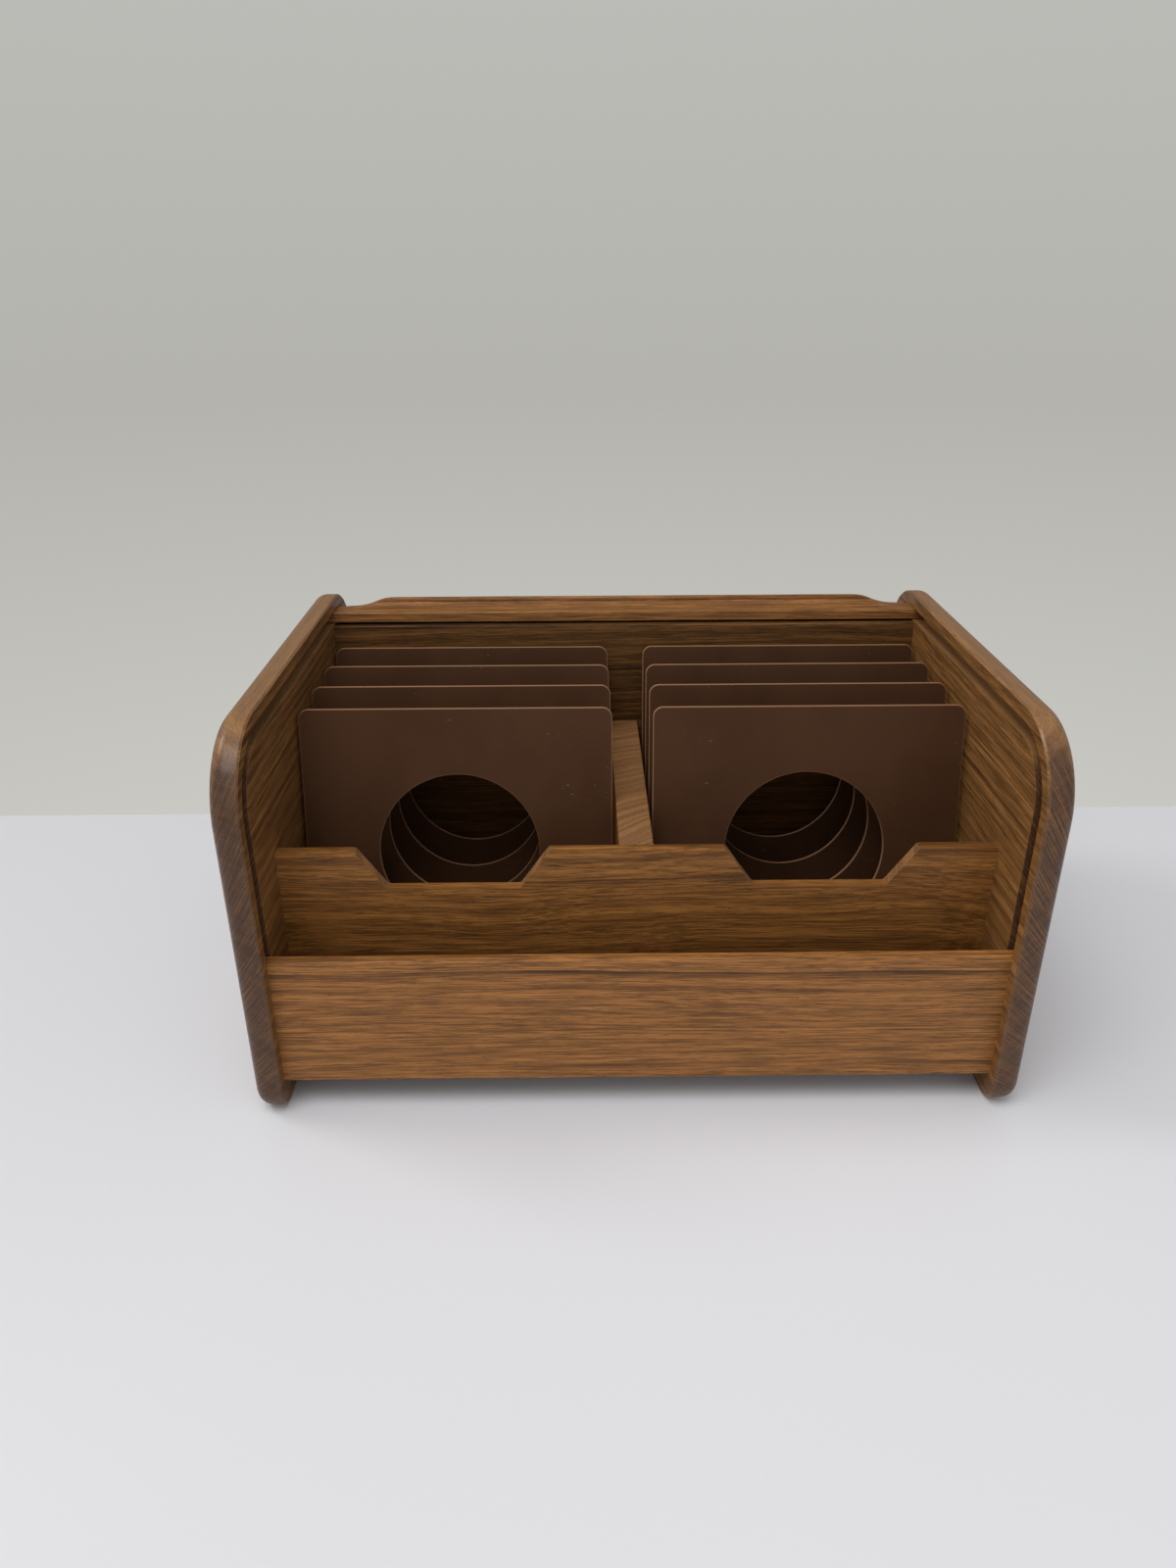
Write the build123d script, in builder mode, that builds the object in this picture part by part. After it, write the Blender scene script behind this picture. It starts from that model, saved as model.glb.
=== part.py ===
from build123d import *
import math
import os

os.makedirs("parts", exist_ok=True)

# Tambour box for compact disc cases, in millimetres, shown open.
# X runs left to right, Y front to back, Z up. The origin is on the table, under the middle.

# Case and side panels
inner_width = 305.0
side_thickness = 12.0
case_depth = 230.0
case_height = 174.0
front_top_radius = 36.0
back_top_radius = 30.0
bottom_radius = 13.0
outer_edge_round = 6.0
inner_edge_chamfer = 0.8
foot_lift = 14.3  # underside of the base board and the apron above the table
housing_depth = 3.0  # how far the boards are let into the side panels

# Track that the curtain slides in
track_margin = 6.0
track_width = 6.0
track_depth = 5.5
tail_bend_radius = 18.0  # outer wall of the bend at the bottom of the back
track_end_gap = 0.3

# Boards
base_thickness = 8.0
apron_height = 61.2
apron_thickness = 5.5
apron_edge_round = 1.0
notched_thickness = 5.0
notched_height = 87.0
notched_setback = 25.6  # clear depth of the front pocket
notch_top_width = 82.0
notch_bottom_width = 57.0
notch_depth = 17.9
notch_offset = 78.3
notch_round = 1.5
partition_width = 15.0
partition_height = 84.5
partition_tongue = 2.0
partition_tongue_width = 5.0
back_board_thickness = 5.0
back_board_gap = 0.9  # under the inner wall of the track
tongue_shoulder = 8.0  # the tongues stop this far below a board's top edge
board_edge_round = 0.6

# Curtain
slat_count = 30
slat_width = 8.2
slat_gap = 0.2
slat_thickness = 5.2
slat_crown = 1.2  # rise of a slat's rounded face above its edges
slat_end_gap = 1.0
curtain_clearance = 0.25  # between the slats and the outer wall of the track
canvas_thickness = 0.5
canvas_glue = 0.05
canvas_side_gap = 3.0
canvas_on_rail = 11.0

# Lead rail with its pull lip
rail_width = 13.0
rail_overrun = 3.6  # the open rail reaches this far past the start of the back bend
rail_end_gap = 0.4
rail_round = 1.0
rail_ahead_of_board = 2.9
lip_height = 5.1
lip_straight = 236.0
lip_taper = 28.0
lip_foot = 1.4
lip_bead = 1.7
bead_wrap = 20.0  # how far the bead turns under itself above the cove
lip_ease = 0.55
lip_back_step = 0.4
cove_radius = 9.0

# Dividers
divider_count = 4
divider_width = 141.5
divider_height = 137.0
divider_thickness = 2.0
divider_corner_round = 4.5
divider_edge_chamfer = 0.3
divider_hole = 74.0
divider_hole_drop = 67.5  # centre of the hole below the top edge
divider_lean = 11.5
divider_upright_stop = 1.0
first_divider_gap = 24.8  # behind the notched board, at the foot
last_divider_gap = 6.2  # before the inner back board, at the top
slot_depth = 5.0
slot_clearance = 0.15
slot_end_clearance = 0.5

# Places that follow from the sizes
half_inner = inner_width / 2
front_y = -case_depth / 2
back_y = case_depth / 2
base_top = foot_lift + base_thickness
front_arc_y = front_y + front_top_radius
front_arc_z = case_height - front_top_radius
back_arc_y = back_y - back_top_radius
back_arc_z = case_height - back_top_radius
tail_arc_y = back_y - track_margin - tail_bend_radius
tail_arc_z = track_margin + tail_bend_radius
track_inner = track_margin + track_width
slat_back = track_margin + curtain_clearance + slat_thickness

apron_y = front_y + track_margin
apron_back_y = apron_y + apron_thickness
apron_top = foot_lift + apron_height
notched_y = apron_back_y + notched_setback
notched_back_y = notched_y + notched_thickness
notched_top = base_top + notched_height
partition_top = base_top + partition_height

rail_rear_y = back_arc_y + rail_overrun
rail_front_y = rail_rear_y - rail_width
rail_bottom = case_height - slat_back
rail_top = rail_bottom + slat_thickness
back_board_y = rail_front_y - rail_ahead_of_board
back_board_rear_y = back_board_y + back_board_thickness
back_board_top = case_height - track_inner - back_board_gap

slat_pitch = slat_width + slat_gap
back_bend_radius = back_top_radius - slat_back
tail_bend_back_radius = tail_bend_radius + track_margin - slat_back
back_bend_length = math.pi / 2 * back_bend_radius
back_run_length = back_arc_z - tail_arc_z
tail_bend_length = math.pi / 2 * tail_bend_back_radius
first_slat = rail_overrun + slat_gap + slat_width / 2
curtain_end = first_slat + (slat_count - 1) * slat_pitch + slat_width / 2
under_run = curtain_end - back_bend_length - back_run_length - tail_bend_length
tail_y = tail_arc_y - under_run

compartment = (inner_width - partition_width) / 2
compartment_x = (partition_width + compartment) / 2
pivot_z = base_top - slot_depth + divider_thickness / 2 + slot_clearance
lean = math.radians(divider_lean)
upright = math.radians(divider_upright_stop)
divider_rise = divider_height - divider_thickness / 2
divider_back_reach = divider_rise * math.sin(lean) + divider_thickness / 2 * math.cos(lean)
first_divider_y = notched_back_y + first_divider_gap
last_divider_y = back_board_y - last_divider_gap - divider_back_reach
divider_pitch = (last_divider_y - first_divider_y) / (divider_count - 1)


def block(x, y, z, mode=Mode.ADD):
    """Add or cut a block that fills three (low, high) spans."""
    middle = ((x[0] + x[1]) / 2, (y[0] + y[1]) / 2, (z[0] + z[1]) / 2)
    with Locations(middle):
        Box(x[1] - x[0], y[1] - y[0], z[1] - z[0], mode=mode)


def curtain_line(inset, start_y, end_y):
    """Draw the curtain's way from the flat top, down the back and in under the base."""
    Line((start_y, case_height - inset), (back_arc_y, case_height - inset))
    CenterArc((back_arc_y, back_arc_z), back_top_radius - inset, 90, -90)
    Line((back_y - inset, back_arc_z), (back_y - inset, tail_arc_z))
    CenterArc((tail_arc_y, tail_arc_z), tail_bend_radius + track_margin - inset, 0, -90)
    Line((tail_arc_y, inset), (end_y, inset))


def track_wall(inset):
    """Draw one wall of the track from the bottom of the apron to the end under the base."""
    Line((front_y + inset, foot_lift), (front_y + inset, front_arc_z))
    CenterArc((front_arc_y, front_arc_z), front_top_radius - inset, 180, -90)
    curtain_line(inset, front_arc_y, tail_y - track_end_gap)


def curtain_place(along):
    """Point and heading on the slats' backs, measured from the start of the back bend."""
    if along < back_bend_length:
        turn = along / back_bend_radius
        y = back_arc_y + back_bend_radius * math.sin(turn)
        z = back_arc_z + back_bend_radius * math.cos(turn)
        return y, z, turn
    along -= back_bend_length
    if along < back_run_length:
        return back_y - slat_back, back_arc_z - along, math.pi / 2
    along -= back_run_length
    if along < tail_bend_length:
        turn = along / tail_bend_back_radius
        y = tail_arc_y + tail_bend_back_radius * math.cos(turn)
        z = tail_arc_z - tail_bend_back_radius * math.sin(turn)
        return y, z, math.pi / 2 + turn
    along -= tail_bend_length
    return tail_arc_y - along, slat_back, math.pi


def end_tongues(y, z):
    """Add the tongues at both ends of a board, which fit the side panels' housings."""
    for hand in (-1, 1):
        x = sorted((hand * half_inner, hand * (half_inner + housing_depth)))
        block(x, y, z)


def side_panel(hand):
    """A side panel with its track and housings; hand is -1 on the left and 1 on the right."""
    inner_face = Plane.YZ.offset(hand * half_inner)
    with BuildPart() as panel:
        with BuildSketch(inner_face):
            with BuildLine():
                Line((front_y, bottom_radius), (front_y, front_arc_z))
                CenterArc((front_arc_y, front_arc_z), front_top_radius, 180, -90)
                Line((front_arc_y, case_height), (back_arc_y, case_height))
                CenterArc((back_arc_y, back_arc_z), back_top_radius, 90, -90)
                Line((back_y, back_arc_z), (back_y, bottom_radius))
                CenterArc((back_y - bottom_radius, bottom_radius), bottom_radius, 0, -90)
                Line((back_y - bottom_radius, 0), (front_y + bottom_radius, 0))
                CenterArc((front_y + bottom_radius, bottom_radius), bottom_radius, 270, -90)
            make_face()
        extrude(amount=hand * side_thickness)
        outward = Axis((0, 0, 0), (hand, 0, 0))
        fillet(panel.faces().sort_by(outward)[-1].edges(), outer_edge_round)
        chamfer(panel.faces().sort_by(outward)[0].edges(), inner_edge_chamfer)

        # Track
        with BuildSketch(inner_face):
            with BuildLine():
                track_wall(track_margin)
                track_wall(track_inner)
                Line((front_y + track_margin, foot_lift), (front_y + track_inner, foot_lift))
                Line((tail_y - track_end_gap, track_margin), (tail_y - track_end_gap, track_inner))
            make_face()
        extrude(amount=hand * track_depth, mode=Mode.SUBTRACT)

        # Housings for the base, the notched board and the inner back board
        x = sorted((hand * half_inner, hand * (half_inner + housing_depth)))
        notched_span = (notched_y, notched_back_y)
        back_span = (back_board_y, back_board_rear_y)
        block(x, (apron_back_y, back_board_rear_y), (foot_lift, base_top), Mode.SUBTRACT)
        block(x, notched_span, (base_top, notched_top - tongue_shoulder), Mode.SUBTRACT)
        block(x, back_span, (base_top, back_board_top - tongue_shoulder), Mode.SUBTRACT)
    return panel


def divider_plate(x, y):
    """A leaning divider that stands in its slot; x and y are the middle of its foot."""
    facing = (0, -math.cos(lean), math.sin(lean))
    plate_plane = Plane(origin=(x, y, pivot_z), x_dir=(1, 0, 0), z_dir=facing)
    with BuildPart() as plate:
        with BuildSketch(plate_plane) as outline:
            with Locations((0, divider_rise / 2)):
                Rectangle(divider_width, divider_rise)
            fillet(outline.vertices().group_by(Axis.Y)[-1], divider_corner_round)
        extrude(amount=divider_thickness / 2, both=True)
        for broad_face in plate.faces().sort_by(SortBy.AREA)[-2:]:
            chamfer(broad_face.edges().sort_by(Axis.Z)[1:], divider_edge_chamfer)
        with BuildSketch(plate_plane):
            with Locations((0, divider_rise - divider_hole_drop)):
                Circle(divider_hole / 2)
        extrude(amount=divider_thickness / 2, both=True, mode=Mode.SUBTRACT)
        with Locations(Location((x, y, pivot_z), (0, 90, 0))):
            Cylinder(divider_thickness / 2, divider_width)
    return plate


# Side panels
left_side = side_panel(-1)
left_side.part.label = "left_side"
export_step(left_side.part, "parts/left_side.step")

right_side = side_panel(1)
right_side.part.label = "right_side"
export_step(right_side.part, "parts/right_side.step")

# Base board with a wedge-shaped slot for each divider
slot_length = divider_width + 2 * slot_end_clearance
foot_reach = divider_thickness / 2 + slot_clearance
front_foot = (-foot_reach * math.cos(upright), foot_reach * math.sin(upright))
back_foot = (foot_reach * math.cos(lean), -foot_reach * math.sin(lean))
wall_length = 2 * slot_depth
front_lip = (
    front_foot[0] + wall_length * math.sin(upright),
    front_foot[1] + wall_length * math.cos(upright),
)
back_lip = (
    back_foot[0] + wall_length * math.sin(lean),
    back_foot[1] + wall_length * math.cos(lean),
)
with BuildPart() as base_board:
    block(
        (-half_inner - housing_depth, half_inner + housing_depth),
        (apron_back_y, back_board_rear_y),
        (foot_lift, base_top),
    )
    for hand in (-1, 1):
        for place in range(divider_count):
            slot_x = hand * compartment_x - slot_length / 2
            foot_y = first_divider_y + place * divider_pitch
            with BuildSketch(Plane(origin=(slot_x, foot_y, pivot_z), x_dir=(0, 1, 0), z_dir=(1, 0, 0))):
                Circle(foot_reach)
                with BuildLine():
                    Polyline(front_foot, front_lip, back_lip, back_foot, close=True)
                make_face()
            extrude(amount=slot_length, mode=Mode.SUBTRACT)
base_board.part.label = "base_board"
export_step(base_board.part, "parts/base_board.step")

# Front apron, its ends in the front run of the track
with BuildPart() as front_apron:
    block(
        (-half_inner - track_depth, half_inner + track_depth),
        (apron_y, apron_back_y),
        (foot_lift, apron_top),
    )
    rows = front_apron.edges().filter_by(Axis.X).group_by(Axis.Z)
    fillet(rows[-1] + rows[0].sort_by(Axis.Y)[:1], apron_edge_round)
front_apron.part.label = "front_apron"
export_step(front_apron.part, "parts/front_apron.step")

# Notched board between the front pocket and the compartments
with BuildPart() as notched_board:
    with BuildSketch(Plane.XZ.offset(-notched_y)) as board_face:
        with Locations((0, base_top)):
            Rectangle(inner_width, notched_height, align=(Align.CENTER, Align.MIN))
        for hand in (-1, 1):
            with BuildLine():
                Polyline(
                    (hand * notch_offset - notch_top_width / 2, notched_top),
                    (hand * notch_offset - notch_bottom_width / 2, notched_top - notch_depth),
                    (hand * notch_offset + notch_bottom_width / 2, notched_top - notch_depth),
                    (hand * notch_offset + notch_top_width / 2, notched_top),
                    close=True,
                )
            make_face(mode=Mode.SUBTRACT)
        rows = board_face.vertices().group_by(Axis.Y)
        fillet(rows[1] + rows[-1].sort_by(Axis.X)[1:-1], notch_round)
    extrude(amount=-notched_thickness)
    end_tongues((notched_y, notched_back_y), (base_top, notched_top - tongue_shoulder))
    block(
        (-partition_tongue_width / 2, partition_tongue_width / 2),
        (notched_back_y - partition_tongue, notched_back_y),
        (base_top, partition_top - tongue_shoulder),
        Mode.SUBTRACT,
    )
notched_board.part.label = "notched_board"
export_step(notched_board.part, "parts/notched_board.step")

# Inner back board, which hides the curtain's run down the back
with BuildPart() as inner_back_board:
    block((-half_inner, half_inner), (back_board_y, back_board_rear_y), (base_top, back_board_top))
    fillet(inner_back_board.edges().filter_by(Axis.X).group_by(Axis.Z)[-1], board_edge_round)
    end_tongues((back_board_y, back_board_rear_y), (base_top, back_board_top - tongue_shoulder))
    block(
        (-partition_tongue_width / 2, partition_tongue_width / 2),
        (back_board_y, back_board_y + partition_tongue),
        (base_top, partition_top - tongue_shoulder),
        Mode.SUBTRACT,
    )
inner_back_board.part.label = "inner_back_board"
export_step(inner_back_board.part, "parts/inner_back_board.step")

# Centre partition, tongued into the boards in front of it and behind it
with BuildPart() as centre_partition:
    block(
        (-partition_width / 2, partition_width / 2),
        (notched_back_y, back_board_y),
        (base_top, partition_top),
    )
    fillet(centre_partition.edges().filter_by(Axis.Y).group_by(Axis.Z)[-1], board_edge_round)
    block(
        (-partition_tongue_width / 2, partition_tongue_width / 2),
        (notched_back_y - partition_tongue, back_board_y + partition_tongue),
        (base_top, partition_top - tongue_shoulder),
    )
centre_partition.part.label = "centre_partition"
export_step(centre_partition.part, "parts/centre_partition.step")

# Pull lip: a cove that rises to a rounded bead, with long tapers at both ends
lip_front = rail_front_y + lip_foot
lip_rear = rail_rear_y - lip_back_step
lip_top = rail_top + lip_height
bead_z = lip_top - lip_bead
bead_y = lip_rear - lip_bead
quirk = math.radians(bead_wrap)
cove_top = (bead_y - lip_bead * math.cos(quirk), bead_z - lip_bead * math.sin(quirk))
rail_middle = (rail_bottom + rail_top) / 2
lip_half = lip_straight / 2 + lip_taper
with BuildPart() as pull_lip:
    with BuildSketch(Plane.YZ.offset(-lip_half)):
        with BuildLine():
            Line((lip_rear, rail_middle), (lip_rear, bead_z))
            CenterArc((bead_y, bead_z), lip_bead, 0, 180 + bead_wrap)
            RadiusArc(cove_top, (lip_front, rail_top), cove_radius)
            Line((lip_front, rail_top), (lip_front, rail_middle))
            Line((lip_front, rail_middle), (lip_rear, rail_middle))
        make_face()
    extrude(amount=2 * lip_half)
    with BuildSketch(Plane.XZ.offset(-lip_rear)):
        with BuildLine():
            Line((-lip_straight / 2, lip_top), (lip_straight / 2, lip_top))
            for hand in (-1, 1):
                Bezier(
                    (hand * lip_straight / 2, lip_top),
                    (hand * (lip_straight / 2 + lip_taper * lip_ease), lip_top),
                    (hand * (lip_half - lip_taper * lip_ease), rail_top),
                    (hand * lip_half, rail_top),
                )
                Line((hand * lip_half, rail_top), (hand * lip_half, rail_bottom))
            Line((-lip_half, rail_bottom), (lip_half, rail_bottom))
        make_face()
    extrude(amount=rail_width, mode=Mode.INTERSECT)

# Lead rail, whose ends run in the track
rail_half = half_inner + track_depth - rail_end_gap
with BuildPart() as lead_rail:
    block((-rail_half, rail_half), (rail_front_y, rail_rear_y), (rail_bottom, rail_top))
    fillet(lead_rail.edges().filter_by(Axis.X).group_by(Axis.Z)[-1], rail_round)
    add(pull_lip.part)
lead_rail.part.label = "lead_rail"
export_step(lead_rail.part, "parts/lead_rail.step")

# Canvas on the back of the curtain
canvas_half = half_inner - canvas_side_gap
canvas_face = slat_back + canvas_glue
canvas_start = rail_rear_y - canvas_on_rail
with BuildPart() as tambour_canvas:
    with BuildSketch(Plane.YZ.offset(-canvas_half)):
        with BuildLine():
            for inset in (canvas_face, canvas_face + canvas_thickness):
                curtain_line(inset, canvas_start, tail_y)
            for y, z in ((canvas_start, case_height - canvas_face), (tail_y, canvas_face)):
                inward = -canvas_thickness if z > case_height / 2 else canvas_thickness
                Line((y, z), (y, z + inward))
        make_face()
    extrude(amount=2 * canvas_half)
tambour_canvas.part.label = "tambour_canvas"
export_step(tambour_canvas.part, "parts/tambour_canvas.step")

# Slats, each at its place along the track
slat_half = half_inner + track_depth - slat_end_gap
slat_shoulder = slat_thickness - slat_crown
for number in range(slat_count):
    y, z, turn = curtain_place(first_slat + number * slat_pitch)
    heading = (0, math.cos(turn), -math.sin(turn))
    with BuildPart() as slat:
        with BuildSketch(Plane(origin=(-slat_half, y, z), x_dir=heading, z_dir=(1, 0, 0))):
            with BuildLine():
                Polyline(
                    (-slat_width / 2, slat_shoulder),
                    (-slat_width / 2, 0),
                    (slat_width / 2, 0),
                    (slat_width / 2, slat_shoulder),
                )
                ThreePointArc(
                    (-slat_width / 2, slat_shoulder),
                    (0, slat_thickness),
                    (slat_width / 2, slat_shoulder),
                )
            make_face()
        extrude(amount=2 * slat_half)
    slat.part.label = f"slat_{number + 1:02d}"
    export_step(slat.part, f"parts/{slat.part.label}.step")

# Dividers, two rows of leaning plates
for side_name, hand in (("left", -1), ("right", 1)):
    for place in range(divider_count):
        divider = divider_plate(hand * compartment_x, first_divider_y + place * divider_pitch)
        divider.part.label = f"divider_{side_name}_{place + 1}"
        export_step(divider.part, f"parts/{divider.part.label}.step")

print("curtain length", round(curtain_end + rail_width - rail_overrun, 1))
print("straight travel", round(rail_front_y - front_arc_y, 1))
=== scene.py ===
"""Looks of a tambour box for disc cases, shown open.

An oiled teak case with rounded sides, a slatted curtain on canvas that is pushed to the back, and
two rows of brown plastic dividers. Everything is in metres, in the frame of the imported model.
"""

import logging
import math
from dataclasses import dataclass
from enum import Enum

import bpy
from mathutils import Matrix, Vector


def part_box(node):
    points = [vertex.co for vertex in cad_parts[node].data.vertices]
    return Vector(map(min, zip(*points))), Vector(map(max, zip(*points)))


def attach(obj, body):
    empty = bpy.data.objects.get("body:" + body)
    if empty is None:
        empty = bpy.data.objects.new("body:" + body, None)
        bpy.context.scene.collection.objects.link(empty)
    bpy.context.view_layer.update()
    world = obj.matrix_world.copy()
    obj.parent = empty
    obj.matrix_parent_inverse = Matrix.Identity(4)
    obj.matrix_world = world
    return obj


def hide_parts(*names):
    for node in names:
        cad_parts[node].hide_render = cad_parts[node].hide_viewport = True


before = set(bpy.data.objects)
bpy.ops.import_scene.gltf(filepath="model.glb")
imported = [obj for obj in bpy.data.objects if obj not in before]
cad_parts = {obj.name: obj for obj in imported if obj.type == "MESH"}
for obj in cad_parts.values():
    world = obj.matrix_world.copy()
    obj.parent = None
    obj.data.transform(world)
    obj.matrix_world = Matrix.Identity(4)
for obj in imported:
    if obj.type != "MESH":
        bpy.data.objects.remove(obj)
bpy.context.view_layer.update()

log = logging.getLogger("tambour_box")

Colour = tuple[float, float, float]
Triple = tuple[float, float, float]
Pair = tuple[float, float]
Socket = bpy.types.NodeSocket


class Grain(Enum):
    """The way a board's fibres run: its two cross directions, then the direction of the fibres."""

    LEFT_TO_RIGHT = "YZX"
    FRONT_TO_BACK = "XZY"
    UPRIGHT = "XYZ"


@dataclass(frozen=True)
class Tones:
    """Linear colours of one cut of teak: early wood, middle wood, late wood and end grain."""

    pale: Colour
    middle: Colour
    dark: Colour
    end: Colour


@dataclass(frozen=True)
class Teak:
    """Finish of one oiled teak board. Lengths are in metres.

    The board is cut from a log whose heart lies at heart in the board's two cross directions, so
    its growth rings, each as wide as band, run as lines on the long faces and as arcs on the end.
    The rings wander by wander over a length of sweep, and ripple on the way. Faces that are turned
    away from the board's broad ones can be made paler and greyer by a share, from rubbing and as a
    painted reflection of bright surroundings seen at a grazing angle. Edges are paler from rubbing
    and a painted highlight, or darker from dirt and painted shade in the slats' seams.
    """

    name: str
    grain: Grain
    heart: Pair
    tones: Tones
    band: float = 0.006
    wander: float = 0.020
    sweep: float = 0.50
    ripple: float = 0.0022
    figure: float = 0.70
    fleck: float = 0.50
    seed: float = 0.0
    roughness: float = 0.44
    specular: float = 0.22
    coat: float = 0.02
    coat_roughness: float = 0.22
    # Edges: paler from rubbing and a painted highlight, or darker from dirt and painted shade
    edge_reach: float = 0.0009
    edge_marks_and_painted_light_tone: float = 1.25
    edge_marks_and_painted_light_share: float = 0.35
    # Narrow faces go paler and greyer: rubbing, and a painted reflection of bright surroundings
    crest_wear_and_painted_reflection: float = 0.0
    crest_wear_and_painted_reflection_tone: Colour = (0.292, 0.152, 0.062)


@dataclass(frozen=True)
class Marks:
    """How the marks in teak are drawn, alike on every board.

    A size is in metres, twice across the fibres and then along them, but a ray's first size is an
    angle in radians. A cut is the span of a soft noise around 0.5, or of another number up to 1, over
    which a mark comes in or goes out.
    """

    shift: Triple = (0.37, 0.53, 0.71)
    drift_across: float = 0.09
    ripple_size: Triple = (0.010, 0.010, 0.110)
    late_cut: Pair = (0.45, 0.94)
    late_end: Pair = (0.95, 1.0)
    late_share: float = 0.45
    line_cut: Pair = (0.25, 1.0)
    cloud_size: Triple = (0.020, 0.020, 0.120)
    cloud_cut: Pair = (0.40, 0.60)
    cloud_range: Pair = (0.10, 1.0)
    band_width: float = 0.6
    band_detail: float = 3.0
    band_cut: Pair = (0.34, 0.68)
    end_cut: Pair = (0.34, 0.80)
    end_band_cut: Pair = (0.40, 0.60)
    end_band_range: Pair = (0.0, 0.40)
    ray_size: Triple = (0.0021, 0.020, 0.030)
    ray_cut: Pair = (0.48, 0.64)
    ray_share: float = 0.42
    fibre_size: Triple = (0.0008, 0.0008, 0.032)
    fibre_detail: float = 4.0
    fibre_rough: float = 0.62
    fibre_cut: Pair = (0.40, 0.60)
    fibre_range: Pair = (-0.36, 0.28)
    fibre_at_end: float = 0.4
    fleck_size: Triple = (0.0008, 0.0008, 0.020)
    fleck_cut: Pair = (0.55, 0.66)
    patch_size: Triple = (0.012, 0.012, 0.070)
    patch_cut: Pair = (0.40, 0.62)
    patch_range: Pair = (0.10, 1.0)
    pore_size: Triple = (0.0005, 0.0005, 0.0070)
    pore_cut: Pair = (0.56, 0.66)
    pore_shares: Pair = (0.15, 0.25)
    fine_rough: float = 0.6
    crest_cut: Pair = (0.55, 0.95)
    gloss_spread: float = 0.22
    end_dullness: float = 0.12
    pore_depth: float = 0.7
    fibre_height: float = 0.5
    relief_depth: float = 0.00022
    relief_share: float = 0.55


@dataclass(frozen=True)
class Plastic:
    """Moulded plastic with a fine skin, faint scuffs and painted highlights on its edges.
    Colours are linear.

    The plates lean back by lean, so that a face which doesn't look their way is a rim, which
    also gets the painted highlight.
    """

    name: str
    body: Colour
    # Paler colour of the painted highlight on edges and rims; also a faint mottle tint
    edge_tone: Colour
    dust: Colour
    roughness: float = 0.46
    specular: float = 0.08
    gloss_spread: float = 0.16
    lean: float = math.radians(11.5)
    rim_cut: Pair = (0.86, 0.98)
    rim_share: float = 0.85
    edge: float = 0.0007
    edge_share: float = 0.6
    mottle_size: Triple = (0.030, 0.030, 0.040)
    mottle_cut: Pair = (0.35, 0.65)
    mottle_range: Pair = (0.0, 0.04)
    scuff_size: Triple = (0.0030, 0.0008, 0.0006)
    scuff_cut: Pair = (0.65, 0.73)
    patch_size: Triple = (0.022, 0.022, 0.012)
    patch_cut: Pair = (0.59, 0.69)
    dust_share: float = 0.7
    dust_dullness: float = 0.3
    skin_size: float = 0.0009
    skin_depth: float = 0.00003
    skin_share: float = 0.5


@dataclass(frozen=True)
class Cloth:
    """Plain-weave canvas, drawn on the piece's own UV map, which is in metres."""

    name: str
    thread: Colour
    gap: Colour
    pitch: float = 0.0006
    weave_cut: Pair = (0.0, 0.8)
    slub_size: Triple = (0.0016, 0.0160, 1.0)
    slub_cut: Pair = (0.2, 0.8)
    slub_range: Pair = (0.6, 1.0)
    roughness: float = 0.92
    relief_depth: float = 0.0002
    relief_share: float = 0.8


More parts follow.
